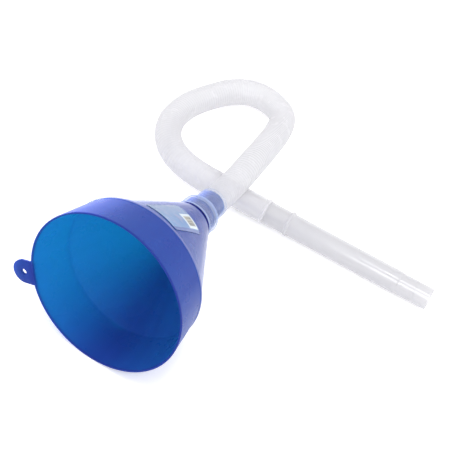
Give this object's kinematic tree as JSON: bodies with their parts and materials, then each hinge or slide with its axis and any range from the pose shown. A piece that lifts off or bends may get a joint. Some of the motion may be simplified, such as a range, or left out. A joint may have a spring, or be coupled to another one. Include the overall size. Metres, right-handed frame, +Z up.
{
  "type": "funnel",
  "caption": "Pouring funnel with a tapered rim band, hanging tab, lift-out gauze strainer and a push-on flexible spout that ends in a stiff stepped nozzle.",
  "frame": {"origin": "centre of the funnel's bounding box on the table, measured without the hose and nozzle", "axes": "+Z up, +X from the mouth towards the neck along the table, +Y towards the hanging tab"},
  "size_m": [0.4356, 0.3682, 0.1581],
  "materials": {
    "blue_plastic": "satin moulded polyethylene, slightly translucent",
    "strainer_plastic": "satin moulded polyethylene",
    "clear_plastic": "natural translucent polyethylene",
    "clear_hose": "natural translucent polyethylene, finely ribbed",
    "printed_label": "printed film",
    "steel_gauze": "woven wire"
  },
  "bodies": {
    "funnel": {"funnel_bowl": "blue_plastic", "label": "printed_label"},
    "strainer": {"strainer_frame": "strainer_plastic", "strainer_gauze": "steel_gauze"},
    "spout": {"neck_cuff": "clear_plastic", "spout_hose": "clear_hose", "nozzle_cuff": "clear_plastic"},
    "nozzle": {"nozzle_tube": "clear_plastic"}
  },
  "joints": [
    {"name": "strainer_lift", "type": "slide", "parent": "funnel", "child": "strainer", "axis": [-0.9873, 0, 0.1587], "range_m": [0, 0.13]},
    {"name": "spout_swivel", "type": "hinge", "parent": "funnel", "child": "spout", "pos_m": [0.06877, -0.0078, 0.0536], "axis": [0.9873, 0, -0.1587], "continuous": true},
    {"name": "nozzle_pull", "type": "slide", "parent": "spout", "child": "nozzle", "axis": [0.0576, -0.9983, -0.0131], "range_m": [0, 0.036]}
  ]
}
